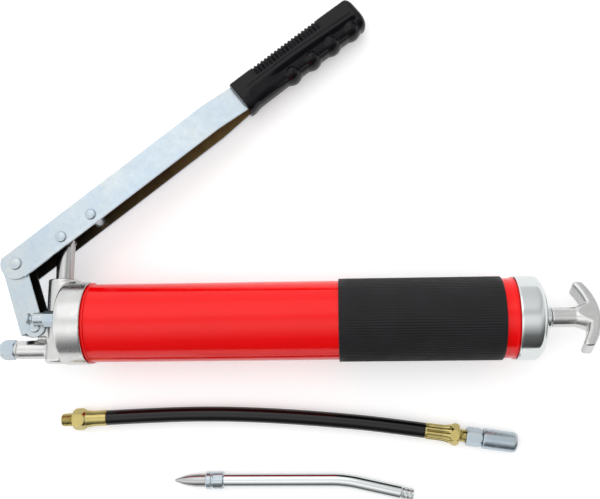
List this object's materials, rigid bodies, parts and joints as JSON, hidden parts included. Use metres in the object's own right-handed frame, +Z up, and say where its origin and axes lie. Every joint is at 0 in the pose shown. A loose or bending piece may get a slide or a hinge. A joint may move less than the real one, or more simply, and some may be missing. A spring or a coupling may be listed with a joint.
{
  "type": "lever grease gun",
  "caption": "Lever-action grease gun with a spring-fed barrel, T-handle follower rod, flexible hose with coupler and bent rigid pipe, laid out on its side.",
  "frame": {"origin": "centre of the bounding box's floor, on the table that the gun lies on", "axes": "+X along the barrel from the pump head to the T-handle, +Y towards the lever, +Z up from the table"},
  "size_m": [0.4324, 0.3784, 0.0604],
  "materials": {
    "cast_aluminium": "satin die-cast aluminium",
    "red_enamel": "glossy red enamel on steel",
    "ribbed_rubber": "black rubber with fine lengthwise ribs",
    "chrome": "polished chrome on steel",
    "zinc_plate": "bright zinc-plated steel",
    "steel": "bright turned steel",
    "spring_steel": "oiled spring steel",
    "brass": "bright brass",
    "hose_rubber": "glossy black thermoplastic cover",
    "seal_rubber": "nitrile rubber",
    "grip_vinyl": "glossy black moulded vinyl"
  },
  "bodies": {
    "gun_body": {"pump_head": "cast_aluminium", "head_gasket": "seal_rubber", "plunger_seal": "seal_rubber", "barrel_tube": "red_enamel", "barrel_sleeve": "ribbed_rubber", "end_cap": "chrome", "rod_collar": "chrome", "outlet_washer": "cast_aluminium", "outlet_valve_body": "zinc_plate", "outlet_spring": "spring_steel", "filler_nipple": "zinc_plate", "filler_spring": "spring_steel", "follower_spring": "spring_steel", "inlet_fitting": "brass", "inlet_ferrule": "brass", "hose": "hose_rubber", "tip_ferrule": "brass", "tip_fitting": "brass", "coupler_adapter": "zinc_plate", "coupler_body": "zinc_plate", "coupler_spring": "spring_steel", "pipe_tube": "chrome", "pipe_collar": "zinc_plate", "pipe_nozzle": "steel"},
    "plunger_body": {"plunger": "steel"},
    "lever_body": {"lever_channel": "zinc_plate", "lever_grip": "grip_vinyl", "fulcrum_rivet": "zinc_plate", "plunger_rivet": "zinc_plate", "spacer_rivet": "zinc_plate", "spacer_tube": "zinc_plate", "pin_spacers": "steel"},
    "link_body": {"link_channel": "zinc_plate", "link_pin": "zinc_plate"},
    "follower_body": {"follower_front_plate": "zinc_plate", "follower_cup": "seal_rubber", "follower_back_plate": "zinc_plate"},
    "handle_body": {"follower_rod": "steel", "rod_nut": "zinc_plate", "rod_clip": "spring_steel", "t_handle": "cast_aluminium", "handle_pin": "steel"},
    "outlet_ball_body": {"outlet_ball": "steel"},
    "filler_ball_body": {"filler_ball": "steel"},
    "coupler_jaw_body": {"coupler_jaws": "steel", "coupler_seal": "seal_rubber"}
  },
  "joints": [
    {"name": "lever_swing", "type": "hinge", "parent": "plunger_body", "child": "lever_body", "pos_m": [-0.1709, 0.00481, 0.02554], "axis": [0, 0.0746, 0.9972], "range_deg": [-29, 0]},
    {"name": "plunger_stroke", "type": "slide", "parent": "gun_body", "child": "plunger_body", "axis": [0, 0.9972, -0.0746], "range_m": [-0.0208, 0]},
    {"name": "link_swing", "type": "hinge", "parent": "gun_body", "child": "link_body", "pos_m": [-0.1879, -0.0609, 0.03045], "axis": [0, 0.0746, 0.9972], "range_deg": [0, 7.7]},
    {"name": "rod_pull", "type": "slide", "parent": "gun_body", "child": "follower_body", "axis": [1, 0, 0], "range_m": [0, 0.24], "stiffness_N_per_m": 110, "springref_m": -0.12, "deforming": ["follower_spring"]},
    {"name": "handle_turn", "type": "hinge", "parent": "follower_body", "child": "handle_body", "pos_m": [-0.1709, -0.05751, 0.0302], "axis": [1, 0, 0], "continuous": true},
    {"name": "outlet_ball_lift", "type": "slide", "parent": "gun_body", "child": "outlet_ball_body", "axis": [-1, 0, 0], "range_m": [0, 0.0013], "stiffness_N_per_m": 300, "springref_m": -0.001, "deforming": ["outlet_spring"]},
    {"name": "filler_ball_lift", "type": "slide", "parent": "gun_body", "child": "filler_ball_body", "axis": [1, 0, 0], "range_m": [0, 0.001], "stiffness_N_per_m": 200, "springref_m": -0.001, "deforming": ["filler_spring"]},
    {"name": "jaw_push", "type": "slide", "parent": "gun_body", "child": "coupler_jaw_body", "axis": [-0.9903, 0.139, 0], "range_m": [0, 0.0015], "stiffness_N_per_m": 1500, "springref_m": -0.001, "deforming": ["coupler_spring"]}
  ],
  "couplings": [
    {"joint": "plunger_stroke", "follows": "lever_swing", "m_per_rad": 0.040897},
    {"joint": "link_swing", "follows": "lever_swing", "ratio": -0.2612}
  ]
}
